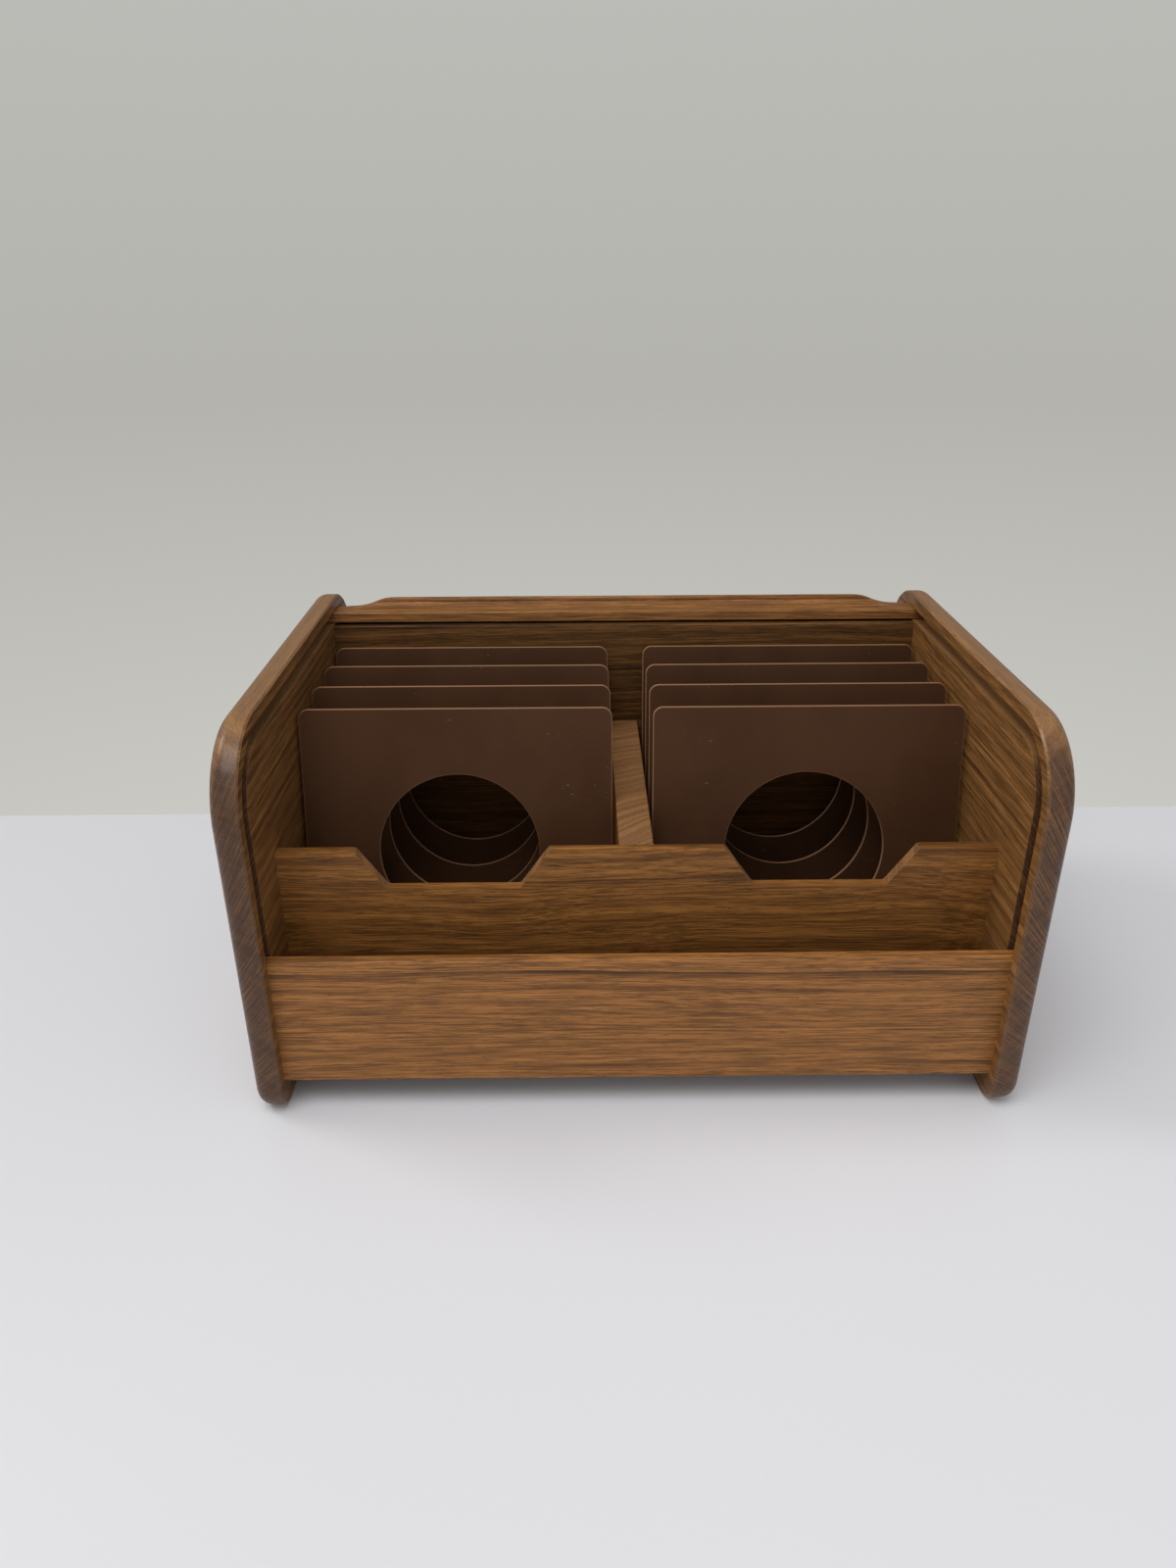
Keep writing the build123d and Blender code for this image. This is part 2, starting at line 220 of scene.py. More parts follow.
class NodeBoard:
    """A node tree, with short ways to add nodes and join them."""

    def __init__(self, tree: bpy.types.NodeTree) -> None:
        """Take hold of a tree and the nodes that it has."""
        self.nodes = tree.nodes
        self.links = tree.links

    def feed(self, socket: Socket, value: object) -> None:
        """Give a socket its value.

        Args:
            socket: The input to fill.
            value: Another node's output, or a plain number, vector or colour.
        """
        if isinstance(value, Socket):
            self.links.new(value, socket)
        else:
            socket.default_value = value

    def add(self, kind: str, **settings: object) -> bpy.types.Node:
        """Add a node.

        Args:
            kind: The node's type, without the word ShaderNode.
            settings: Attributes to set on the node.

        Returns:
            The new node.
        """
        node = self.nodes.new("ShaderNode" + kind)
        for key, value in settings.items():
            setattr(node, key, value)
        return node

    def source(self, name: str) -> Socket:
        """Get one of the surface's own coordinates, such as Object, Normal or UV."""
        return self.add("TexCoord").outputs[name]

    def split(self, vector: Socket) -> dict[str, Socket]:
        """Take a vector apart.

        Args:
            vector: The vector.

        Returns:
            Its parts, by the names X, Y and Z.
        """
        node = self.add("SeparateXYZ")
        self.feed(node.inputs[0], vector)
        return dict(zip("XYZ", node.outputs))

    def join(self, parts: list[Socket]) -> Socket:
        """Put a vector together.

        Args:
            parts: Its three parts.

        Returns:
            The vector.
        """
        node = self.add("CombineXYZ")
        for socket, part in zip(node.inputs, parts):
            self.feed(socket, part)
        return node.outputs[0]

    def math(
        self, operation: str, first: object, second: object = 0.0, third: object = 0.0,
    ) -> Socket:
        """Work out a number from up to three numbers.

        Args:
            operation: Name of the sum, such as ADD.
            first: First number.
            second: Second number, where the sum has one.
            third: Third number, where the sum has one.

        Returns:
            The result.
        """
        node = self.add("Math", operation=operation)
        for socket, value in zip(node.inputs, (first, second, third)):
            self.feed(socket, value)
        return node.outputs[0]

    def vector(self, operation: str, first: object, second: object) -> Socket:
        """Work out a vector from two vectors.

        Args:
            operation: Name of the sum, such as MULTIPLY.
            first: First vector.
            second: Second vector.

        Returns:
            The result.
        """
        node = self.add("VectorMath", operation=operation)
        self.feed(node.inputs[0], first)
        self.feed(node.inputs[1], second)
        return node.outputs[0]

    def agreement(self, first: object, second: object) -> Socket:
        """Work out how far two directions agree.

        Args:
            first: First direction.
            second: Second direction.

        Returns:
            1 where they are the same and 0 where they are square to each other.
        """
        node = self.add("VectorMath", operation="DOT_PRODUCT")
        self.feed(node.inputs[0], first)
        self.feed(node.inputs[1], second)
        return node.outputs["Value"]

    def noise(self, place: object, size: Triple, detail: float = 2.0, rough: float = 0.5) -> Socket:
        """Soft noise, drawn out differently each way.

        Args:
            place: Where to read it, a vector in metres.
            size: Size of its patches along the vector's three directions, in metres.
            detail: How many finer layers it has.
            rough: How strong the finer layers are.

        Returns:
            A number around 0.5.
        """
        node = self.add("TexNoise")
        self.feed(node.inputs["Vector"], self.vector("MULTIPLY", place, tuple(1 / s for s in size)))
        self.feed(node.inputs["Scale"], 1.0)
        self.feed(node.inputs["Detail"], detail)
        self.feed(node.inputs["Roughness"], rough)
        return node.outputs[0]

    def bands(
        self, distance: object, spacing: float, shift: float, detail: float, rough: float,
    ) -> Socket:
        """Noise that changes with one distance only, so that it makes uneven bands.

        Args:
            distance: The distance, in metres.
            spacing: Typical width of a band, in metres.
            shift: Start of the pattern, to make each board's own.
            detail: How many finer layers it has.
            rough: How strong the finer layers are.

        Returns:
            A number around 0.5.
        """
        node = self.add("TexNoise", noise_dimensions="1D")
        self.feed(node.inputs["W"], self.math("MULTIPLY_ADD", distance, 1 / spacing, shift))
        self.feed(node.inputs["Scale"], 1.0)
        self.feed(node.inputs["Detail"], detail)
        self.feed(node.inputs["Roughness"], rough)
        return node.outputs[0]

    def span(
        self, value: object, cut: Pair, onto: Pair = (0.0, 1.0), way: str = "SMOOTHSTEP",
    ) -> Socket:
        """Stretch a number's span onto another and hold it there.

        Args:
            value: The number.
            cut: Where its span starts and ends.
            onto: Results at the start and at the end.
            way: How it goes from one to the other.

        Returns:
            The result.
        """
        node = self.add("MapRange", interpolation_type=way)
        for socket, number in zip(node.inputs, (value, *cut, *onto)):
            self.feed(socket, number)
        return node.outputs[0]

    def fall(self, value: object, cut: Pair) -> Socket:
        """Go from 1 down to 0 over a span of a number, and hold it there."""
        return self.span(value, cut, (1.0, 0.0))

    def mix(self, factor: object, first: object, second: object, way: str = "MIX") -> Socket:
        """Mix two colours.

        Args:
            factor: How much of the second colour, from 0 to 1.
            first: First colour.
            second: Second colour.
            way: Blending mode.

        Returns:
            The mixed colour.
        """
        node = self.add("Mix", data_type="RGBA", blend_type=way)
        for socket, value in ((0, factor), (6, first), (7, second)):
            plain = isinstance(value, tuple)
            self.feed(node.inputs[socket], (*value, 1.0) if plain else value)
        return node.outputs[2]

    def stain(self, mask: Socket, share: float, under: object, over: object) -> Socket:
        """Lay a colour over another where a mask says so.

        Args:
            mask: 1 where the colour goes.
            share: How well it covers.
            under: The colour below.
            over: The colour to lay on.

        Returns:
            The mixed colour.
        """
        return self.mix(self.math("MULTIPLY", mask, share), under, over)

    def ramp(
        self, value: object, first: Colour, last: Colour, between: dict[float, Colour],
    ) -> Socket:
        """Turn a number from 0 to 1 into a colour.

        Args:
            value: The number.
            first: Colour at 0.
            last: Colour at 1.
            between: Colours at numbers in between.

        Returns:
            The colour.
        """
        node = self.add("ValToRGB")
        self.feed(node.inputs[0], value)
        stops = node.color_ramp.elements
        stops[0].color = (*first, 1)
        stops[1].color = (*last, 1)
        for position, colour in between.items():
            stops.new(position).color = (*colour, 1)
        return node.outputs[0]


class Skin(NodeBoard):
    """A material's node tree, round its one shader."""

    edge_samples = 4
    edge_cut = (0.80, 0.995)

    def __init__(self, name: str) -> None:
        """Start a material that holds one shader.

        Args:
            name: Name of the material.
        """
        self.material = bpy.data.materials.new(name)
        self.material.use_nodes = True
        super().__init__(self.material.node_tree)
        self.shader = self.nodes["Principled BSDF"]

    def give(self, **values: object) -> None:
        """Give the shader's inputs their values, each by its name with underscores for spaces."""
        for name, value in values.items():
            self.feed(self.shader.inputs[name.replace("_", " ")], value)

    def edges(self, radius: float) -> Socket:
        """Find the edges, where hands rub, dirt gathers and painted light or shade is laid.

        Args:
            radius: How far an edge reaches onto its faces, in metres.

        Returns:
            1 on an edge and 0 away from it.
        """
        rounded = self.add("Bevel", samples=self.edge_samples)
        self.feed(rounded.inputs["Radius"], radius)
        normal = self.add("NewGeometry").outputs["Normal"]
        return self.fall(self.agreement(rounded.outputs[0], normal), self.edge_cut)

    def relief(self, height: Socket, depth: float, share: float) -> None:
        """Give the surface a fine relief.

        Args:
            height: Height from 0 to 1.
            depth: What a height of 1 stands for, in metres.
            share: Share of the relief that shows.
        """
        bump = self.add("Bump")
        self.feed(bump.inputs["Strength"], share)
        self.feed(bump.inputs["Distance"], depth)
        self.feed(bump.inputs["Height"], height)
        self.give(Normal=bump.outputs[0])


class TeakSkin(Skin):
    """The material of one teak board."""

    def __init__(self, finish: Teak, marks: Marks = Marks()) -> None:
        """Find each spot's place in the log, and the way its surface faces.

        Args:
            finish: The board's colour and figure.
            marks: How the marks are drawn.
        """
        super().__init__(finish.name)
        self.finish = finish
        self.marks = marks
        self.shift = tuple(finish.seed * share for share in marks.shift)
        axes = finish.grain.value
        place = self.split(self.source("Object"))
        facing = self.split(self.source("Normal"))
        self.along = place[axes[2]]
        self.spot = self.moved([place[axis] for axis in axes])
        self.first = self.math("SUBTRACT", place[axes[0]], finish.heart[0])
        self.second = self.math("SUBTRACT", place[axes[1]], finish.heart[1])
        self.bend = self.wandering()
        self.radius = self.distance_from_heart()
        self.broad = self.math("ABSOLUTE", facing[axes[0]])
        self.end_grain = self.span(self.math("ABSOLUTE", facing[axes[2]]), marks.end_cut)
        self.long_grain = self.math("SUBTRACT", 1.0, self.end_grain)
        bent = [self.math("ADD", across, self.bend) for across in (self.first, self.second)]
        self.strand = self.moved([*bent, self.along])
        self.fibres = self.noise(
            self.strand, marks.fibre_size, marks.fibre_detail, marks.fibre_rough,
        )
        pores = self.noise(self.strand, marks.pore_size, rough=marks.fine_rough)
        self.pores = self.span(pores, marks.pore_cut)

    def moved(self, parts: list[Socket]) -> Socket:
        """Join three coordinates into a place, moved so that each board has its own pattern.

        Args:
            parts: The three coordinates, in metres.

        Returns:
            The place.
        """
        return self.vector("ADD", self.join(parts), self.shift)

    def wandering(self) -> Socket:
        """Bend the growth rings slowly, and ripple them on the way.

        Returns:
            How far they are moved, in metres.
        """
        across = self.marks.drift_across
        slow = self.noise(self.spot, (across, across, self.finish.sweep))
        quick = self.noise(self.spot, self.marks.ripple_size)
        drift = self.math("MULTIPLY", slow, self.finish.wander)
        return self.math("MULTIPLY_ADD", quick, self.finish.ripple, drift)

    def distance_from_heart(self) -> Socket:
        """Measure how far out in the log each spot lies, with the rings bent.

        Returns:
            The distance, in metres.
        """
        square = self.math("MULTIPLY", self.second, self.second)
        squares = self.math("MULTIPLY_ADD", self.first, self.first, square)
        return self.math("ADD", self.math("SQRT", squares), self.bend)

    def rings(self) -> tuple[Socket, Socket]:
        """Draw the growth rings: each darkens slowly and ends sharply, some far more than others.

        Returns:
            The late wood of every ring, and the dark lines.
        """
        marks = self.marks
        count = self.math("MULTIPLY_ADD", self.radius, 1 / self.finish.band, self.finish.seed)
        step = self.math("FRACT", count)
        chance = self.add("TexWhiteNoise", noise_dimensions="1D")
        self.feed(chance.inputs["W"], self.math("FLOOR", count))
        darker, sharp_end = self.span(step, marks.late_cut), self.fall(step, marks.late_end)
        late = self.math("MULTIPLY", darker, sharp_end)
        clouds = self.noise(self.spot, marks.cloud_size)
        clouds = self.span(clouds, marks.cloud_cut, marks.cloud_range)
        strong = self.math("MULTIPLY", self.span(chance.outputs["Value"], marks.line_cut), clouds)
        return late, self.math("MULTIPLY", self.math("MULTIPLY", late, late), strong)

    def end_tone(self, bands: Socket) -> Socket:
        """Colour the end grain: darker and greyer, with pale rays that point at the heart.

        Args:
            bands: The uneven bands of the log.

        Returns:
            The colour.
        """
        marks, tones = self.marks, self.finish.tones
        angle = self.math("ARCTAN2", self.second, self.first)
        place = self.moved([angle, self.radius, self.along])
        rays = self.span(self.noise(place, marks.ray_size), marks.ray_cut)
        ringing = self.span(bands, marks.end_band_cut, marks.end_band_range)
        ringed = self.mix(ringing, tones.end, tones.dark)
        return self.stain(rays, marks.ray_share, ringed, tones.pale)

    def streaked(self, colour: Socket) -> Socket:
        """Lighten and darken the wood along its fibres, less so on the end grain.

        Args:
            colour: The colour so far.

        Returns:
            The colour with streaks.
        """
        marks = self.marks
        streaks = self.span(self.fibres, marks.fibre_cut, marks.fibre_range)
        at_end = marks.fibre_at_end
        depth = self.math("MULTIPLY_ADD", self.long_grain, 1 - at_end, at_end)
        light = self.math("MULTIPLY_ADD", streaks, depth, 1.0)
        return self.mix(1.0, colour, self.join([light] * 3), "MULTIPLY")

    def flecked(self, colour: Socket) -> Socket:
        """Add dark flecks in patches, and the pores.

        Args:
            colour: The colour so far.

        Returns:
            The colour with flecks and pores.
        """
        marks, dark = self.marks, self.finish.tones.dark
        patch = self.noise(self.strand, marks.patch_size, 1.0)
        patch = self.span(patch, marks.patch_cut, marks.patch_range)
        flecks = self.noise(self.strand, marks.fleck_size, rough=marks.fine_rough)
        flecks = self.math("MULTIPLY", self.span(flecks, marks.fleck_cut), patch)
        flecks = self.math("MULTIPLY", flecks, self.long_grain)
        colour = self.stain(flecks, self.finish.fleck, colour, dark)
        at_end, more_along = marks.pore_shares
        share = self.math("MULTIPLY_ADD", self.long_grain, more_along, at_end)
        return self.stain(self.pores, share, colour, dark)

    def edge_tone(self, colour: Socket) -> Socket:
        """Tone the narrow faces and the edges, for rubbing, dirt and painted light.

        Args:
            colour: The colour so far.

        Returns:
            The colour with its rubbing, dirt and painted light.
        """
        finish = self.finish
        # Narrow faces paler and greyer: rubbing, and a painted reflection of bright surroundings
        if finish.crest_wear_and_painted_reflection:
            turned = self.fall(self.broad, self.marks.crest_cut)
            turned = self.math("MULTIPLY", turned, self.long_grain)
            colour = self.stain(turned, finish.crest_wear_and_painted_reflection, colour, finish.crest_wear_and_painted_reflection_tone)
        # Edges paler from rubbing and a painted highlight, or darker from dirt and painted shade
        edge_marks_and_painted_light = tuple(part * finish.edge_marks_and_painted_light_tone for part in finish.tones.pale)
        return self.stain(self.edges(finish.edge_reach), finish.edge_marks_and_painted_light_share, colour, edge_marks_and_painted_light)

    def colour(self) -> Socket:
        """Colour the board: rings first, then end grain, fibres, pores, edge marks and painted light.

        Returns:
            The colour.
        """
        marks, finish, tones = self.marks, self.finish, self.finish.tones
        late, lines = self.rings()
        spacing = finish.band * marks.band_width
        bands = self.bands(self.radius, spacing, finish.seed, marks.band_detail, marks.fine_rough)
        colour = self.mix(self.span(bands, marks.band_cut), tones.pale, tones.middle)
        colour = self.stain(late, marks.late_share, colour, tones.middle)
        colour = self.stain(lines, finish.figure, colour, tones.dark)
        colour = self.mix(self.end_grain, colour, self.end_tone(bands))
        return self.edge_tone(self.flecked(self.streaked(colour)))

    def build(self) -> bpy.types.Material:
        """Set the colour, the gloss and the relief.

        Returns:
            The material.
        """
        marks, finish = self.marks, self.finish
        spread = marks.gloss_spread
        rough = self.math("MULTIPLY_ADD", self.fibres, spread, finish.roughness - spread / 2)
        self.give(
            Base_Color=self.colour(),
            Roughness=self.math("MULTIPLY_ADD", self.end_grain, marks.end_dullness, rough),
            Specular_IOR_Level=finish.specular,
            Coat_Weight=finish.coat,
            Coat_Roughness=finish.coat_roughness,
        )
        raised = self.math("MULTIPLY", self.fibres, marks.fibre_height)
        height = self.math("MULTIPLY_ADD", self.pores, -marks.pore_depth, raised)
        self.relief(height, marks.relief_depth, marks.relief_share)
        return self.material


def plastic_material(finish: Plastic) -> bpy.types.Material:
    """Build the material of the dividers.

    Args:
        finish: The plastic's colours and gloss.

    Returns:
        The material.
    """
    skin = Skin(finish.name)
    place = skin.source("Object")
    mottle = skin.noise(place, finish.mottle_size, 3.0)
    scuffs = skin.span(skin.noise(place, finish.scuff_size, 3.0, 0.7), finish.scuff_cut)
    patches = skin.span(skin.noise(place, finish.patch_size, 1.0), finish.patch_cut)
    marks = skin.math("MULTIPLY", scuffs, patches)

    # The narrow faces round the plate and its hole don't face the way the plate does;
    # they and the edges get a painted highlight, where light catches them
    plate_way = (0.0, -math.cos(finish.lean), math.sin(finish.lean))
    facing = skin.math("ABSOLUTE", skin.agreement(skin.source("Normal"), plate_way))
    edge = skin.math("MULTIPLY", skin.edges(finish.edge), finish.edge_share)
    edge = skin.math("MAXIMUM", edge, skin.fall(facing, finish.rim_cut))

    mottled = skin.span(mottle, finish.mottle_cut, finish.mottle_range)
    shade = skin.mix(mottled, finish.body, finish.edge_tone)
    # Painted highlight: edges and rims paler, where light catches them
    shade = skin.stain(edge, finish.rim_share, shade, finish.edge_tone)
    shade = skin.stain(marks, finish.dust_share, shade, finish.dust)
    spread = finish.gloss_spread
    gloss = skin.math("MULTIPLY_ADD", mottle, spread, finish.roughness - spread / 2)
    skin.give(
        Base_Color=shade,
        Roughness=skin.math("MULTIPLY_ADD", marks, finish.dust_dullness, gloss),
        Specular_IOR_Level=finish.specular,
    )
    grains = skin.noise(place, (finish.skin_size,) * 3)
    skin.relief(grains, finish.skin_depth, finish.skin_share)
    return skin.material


def cloth_material(finish: Cloth) -> bpy.types.Material:
    """Build the material of the canvas.

    Args:
        finish: The cloth's colours and thread pitch.

    Returns:
        The material.
    """
    skin = Skin(finish.name)
    flat = skin.source("UV")
    place = skin.split(flat)
    turn = math.pi / finish.pitch
    warp, weft = (skin.math("SINE", skin.math("MULTIPLY", place[axis], turn)) for axis in "XY")
    weave = skin.math("ABSOLUTE", skin.math("MULTIPLY", warp, weft))
    slub = skin.span(skin.noise(flat, finish.slub_size), finish.slub_cut, finish.slub_range)
    tone = skin.math("MULTIPLY", skin.span(weave, finish.weave_cut), slub)
    skin.give(Base_Color=skin.mix(tone, finish.gap, finish.thread), Roughness=finish.roughness)
    skin.relief(weave, finish.relief_depth, finish.relief_share)
    return skin.material


def deselect() -> None:
    """Deselect everything, in object mode."""
    if bpy.context.mode != "OBJECT":
        bpy.ops.object.mode_set(mode="OBJECT")
    bpy.ops.object.select_all(action="DESELECT")


def dress(node: str, material: bpy.types.Material) -> None:
    """Give a CAD node its material.

    Args:
        node: Name of the node.
        material: The material for its whole surface.
    """
    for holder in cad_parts[node].material_slots:
        holder.material = material


@dataclass
class Case:
    """The fixed case: two side panels and the boards between them."""

    # The left panel is darker: painted shade, as its inner face lies away from the light
    left_painted_shade_tones: Tones = Tones(
        pale=(0.262, 0.122, 0.037),
        middle=(0.142, 0.061, 0.016),
        dark=(0.034, 0.013, 0.006),
        end=(0.072, 0.032, 0.014),
    )
    right_tones: Tones = Tones(
        pale=(0.310, 0.145, 0.044),
        middle=(0.190, 0.083, 0.022),
        dark=(0.034, 0.013, 0.006),
        end=(0.080, 0.036, 0.016),
    )
    front_tones: Tones = Tones(
        pale=(0.322, 0.136, 0.037),
        middle=(0.250, 0.102, 0.027),
        dark=(0.045, 0.018, 0.008),
        end=(0.160, 0.085, 0.045),
    )
    middle_tones: Tones = Tones(
        pale=(0.286, 0.120, 0.028),
        middle=(0.196, 0.079, 0.018),
        dark=(0.034, 0.013, 0.005),
        end=(0.285, 0.138, 0.054),
    )
    # Base and inner back boards darker: painted shade, for the shade inside the case
    inside_painted_shade_tones: Tones = Tones(
        pale=(0.150, 0.066, 0.018),
        middle=(0.096, 0.040, 0.010),
        dark=(0.016, 0.007, 0.003),
        end=(0.190, 0.100, 0.046),
    )

    def side(self, name: str, heart: Pair, tones: Tones, seed: float) -> Teak:
        """Side panel finish: polished, rounded edges paler by rubbing and painted reflection."""
        polish = {"coat": 0.36, "fleck": 0.22, "crest_wear_and_painted_reflection": 0.55}
        return Teak(name, Grain.FRONT_TO_BACK, heart, tones, seed=seed, **polish)

    def board(self, name: str, heart: Pair, tones: Tones, **figure: float) -> Teak:
        """Finish of a board whose fibres run from left to right."""
        return Teak(name, Grain.LEFT_TO_RIGHT, heart, tones, **figure)

    def finishes(self) -> dict[str, Teak]:
        """Give each board its own cut of teak.

        Returns:
            The finish of each node of the case.
        """
        return {
            "left_side": self.side("teak_left_side", (-0.25, -0.06), self.left_painted_shade_tones, seed=1.0),
            "right_side": self.side("teak_right_side", (0.26, -0.04), self.right_tones, seed=2.6),
            "base_board": self.board("teak_base_board", (0.02, -0.20), self.inside_painted_shade_tones, seed=3.2),
            "front_apron": self.board(
                "teak_front_apron", (0.03, -0.13), self.front_tones,
                band=0.0065, figure=0.85, seed=4.7,
            ),
            "notched_board": self.board(
                "teak_notched_board", (0.05, -0.09), self.middle_tones,
                band=0.0095, wander=0.026, sweep=0.17, figure=0.95, seed=5.9,
            ),
            "inner_back_board": self.board(
                "teak_inner_back_board", (0.18, -0.15), self.inside_painted_shade_tones, seed=6.4,
            ),
            "centre_partition": Teak(
                "teak_centre_partition", Grain.UPRIGHT, (0.09, -0.16), self.middle_tones, seed=7.1,
            ),
        }

    def build(self) -> None:
        """Dress every board of the case."""
        for node, finish in self.finishes().items():
            dress(node, TeakSkin(finish).build())
            log.info("dressed %s in %s", node, finish.name)


@dataclass
class Curtain:
    """The tambour curtain: the lead rail, the slats and the canvas that joins them.

    The slats are sawn from as many different boards as cuts says. The darkest and the palest of
    them have the slat tones times the two numbers of cut_range.
    """

    canvas_thickness: float = 0.0005
    hem_share: float = 0.3
    glue: float = 0.00005
    strip_width: float = 0.00826
    rail_strip_width: float = 0.0112
    rail_lap: float = 0.0001
    flatness: float = 0.9999
    cuts: int = 5
    cut_range: Pair = (0.84, 1.16)
    first_heart: Pair = (-0.14, -0.10)
    heart_step: float = 0.03
    first_seed: float = 11.0
    seed_step: float = 1.7
    # Seams darkened by dirt, and by painted shade in the gaps between the slats
    seam_dirt_and_painted_shade_tone: float = 0.15
    seam_dirt_and_painted_shade_share: float = 0.85
    slat_tones: Tones = Tones(
        pale=(0.290, 0.132, 0.044),
        middle=(0.190, 0.082, 0.026),
        dark=(0.045, 0.020, 0.010),
        end=(0.130, 0.075, 0.045),
    )
    rail_finish: Teak = Teak(
        "teak_lead_rail",
        Grain.LEFT_TO_RIGHT,
        (0.30, 0.02),
        Tones(
            pale=(0.305, 0.134, 0.038),
            middle=(0.200, 0.082, 0.022),
            dark=(0.056, 0.022, 0.009),
            end=(0.150, 0.082, 0.048),
        ),
        band=0.004,
        figure=0.40,
        fleck=0.25,
        seed=9.3,
    )
    canvas_finish: Cloth = Cloth("canvas_weave", (0.300, 0.250, 0.180), (0.120, 0.095, 0.065))

    def slat_finish(self, number: int) -> Teak:
        """Finish of one of the cuts that the slats are sawn from.

        Args:
            number: The cut, counted from 0.

        Returns:
            The finish, its seams darkened by dirt and painted shade.
        """
        tones = self.slat_tones
        darkest, palest = self.cut_range
        strength = darkest + (palest - darkest) * ((number * 2) % self.cuts) / (self.cuts - 1)
        return Teak(
            f"teak_slat_{number + 1}",
            Grain.LEFT_TO_RIGHT,
            (self.first_heart[0] - self.heart_step * number, self.first_heart[1]),
            Tones(
                pale=tuple(part * strength for part in tones.pale),
                middle=tuple(part * strength for part in tones.middle),
                dark=tones.dark,
                end=tones.end,
            ),
            seed=self.first_seed + self.seed_step * number,
            edge_marks_and_painted_light_tone=self.seam_dirt_and_painted_shade_tone,
            edge_marks_and_painted_light_share=self.seam_dirt_and_painted_shade_share,
        )

    def slats(self) -> list[str]:
        """Names of the slats in order, from the lead rail back."""
        return sorted(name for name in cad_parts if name.startswith("slat_"))

    def dress_wood(self) -> None:
        """Dress the lead rail and the slats."""
        dress("lead_rail", TeakSkin(self.rail_finish).build())
        materials = [TeakSkin(self.slat_finish(number)).build() for number in range(self.cuts)]
        for number, node in enumerate(self.slats()):
            dress(node, materials[number % self.cuts])
        log.info("dressed the lead rail and %d slats", len(self.slats()))

    def blank(self, width: float, length: float) -> bpy.types.Object:
        """Model a flat strip of canvas with soft cut edges, its UV map in metres.

        Args:
            width: Size along X, the width of the curtain.
            length: Size along Y, along the curtain.

        Returns:
            The strip, lying in the XY plane around the origin.
        """
        deselect()
        bpy.ops.mesh.primitive_cube_add(size=1.0, calc_uvs=True)
        strip = bpy.context.object
        bpy.ops.object.mode_set(mode="EDIT")
        bpy.ops.transform.resize(value=(width, length, self.canvas_thickness))
        bpy.ops.mesh.select_all(action="SELECT")
        hem = self.canvas_thickness * self.hem_share
        bpy.ops.mesh.bevel(offset=hem, segments=2, affect="EDGES")
        bpy.ops.mesh.bisect(plane_co=(0, 0, 0), plane_no=(1, 0, 0))
        bpy.ops.object.mode_set(mode="OBJECT")
        layer = strip.data.uv_layers[0]
        for loop, spot in zip(strip.data.loops, layer.data):
            corner = strip.data.vertices[loop.vertex_index].co
            spot.uv = (corner.x, corner.y)
        return strip

    def lay(
        self, strip: bpy.types.Object, name: str, centre: Vector, outward: Vector,
    ) -> bpy.types.Object:
        """Copy a strip onto the back of a slat or of the rail.

        Args:
            strip: The flat strip to copy.
            name: Name of the copy.
            centre: Middle of the place it covers.
            outward: Direction that the place faces.

        Returns:
            The copy, its place in its mesh.
        """
        piece = bpy.data.objects.new(name, strip.data.copy())
        bpy.context.scene.collection.objects.link(piece)
        across = Vector((1, 0, 0))
        along = outward.cross(across).normalized()
        turn = Matrix((across, along, outward)).transposed().to_4x4()
        raised = centre + outward * (self.glue + self.canvas_thickness / 2)
        piece.data.transform(Matrix.Translation(raised) @ turn)
        return piece

    def slat_back(self, node: str) -> tuple[Vector, Vector]:
        """Find the flat back of a slat, which is its broadest face.

        Args:
            node: Name of the slat.

        Returns:
            The middle of the back and the direction that it faces.
        """
        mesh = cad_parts[node].data
        broad = max(mesh.polygons, key=lambda face: face.area)
        flat = [face for face in mesh.polygons if face.normal.dot(broad.normal) > self.flatness]
        corners = [mesh.vertices[index].co for face in flat for index in face.vertices]
        low = Vector(min(corner[axis] for corner in corners) for axis in range(3))
        high = Vector(max(corner[axis] for corner in corners) for axis in range(3))
        return (low + high) / 2, broad.normal.copy()

    def lay_slat_strips(self, width: float) -> list[bpy.types.Object]:
        """Lay a strip of canvas on the back of every slat, so that it follows its slat.

        Args:
            width: Width of the canvas.

        Returns:
            The strips.
        """
        pattern = self.blank(width, self.strip_width)
        strips = []
        for node in self.slats():
            centre, outward = self.slat_back(node)
            strip = self.lay(pattern, node.replace("slat", "canvas_strip"), centre, outward)
            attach(strip, node)
            strips.append(strip)
        bpy.data.objects.remove(pattern)
        return strips

    def lay_rail_strip(self, width: float) -> bpy.types.Object:
        """Lay the strip of canvas that is glued under the lead rail.

        Args:
            width: Width of the canvas.

        Returns:
            The strip.
        """
        pattern = self.blank(width, self.rail_strip_width)
        low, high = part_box("lead_rail")
        centre = Vector((0, high.y + self.rail_lap - self.rail_strip_width / 2, low.z))
        lead = self.lay(pattern, "canvas_lead_strip", centre, Vector((0, 0, -1)))
        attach(lead, "lead_rail")
        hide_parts("tambour_canvas")
        bpy.data.objects.remove(pattern)
        return lead

    def build_canvas(self) -> None:
        """Model the canvas as one strip for the rail and one for each slat."""
        material = cloth_material(self.canvas_finish)
        low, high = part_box("tambour_canvas")
        width = high.x - low.x
        strips = self.lay_slat_strips(width)
        lead = self.lay_rail_strip(width)
        for piece in (lead, *strips):
            piece.data.materials.clear()
            piece.data.materials.append(material)
        log.info("laid the canvas in %d strips", len(strips) + 1)

    def build(self) -> None:
        """Dress the curtain and lay its canvas."""
        self.dress_wood()
        self.build_canvas()


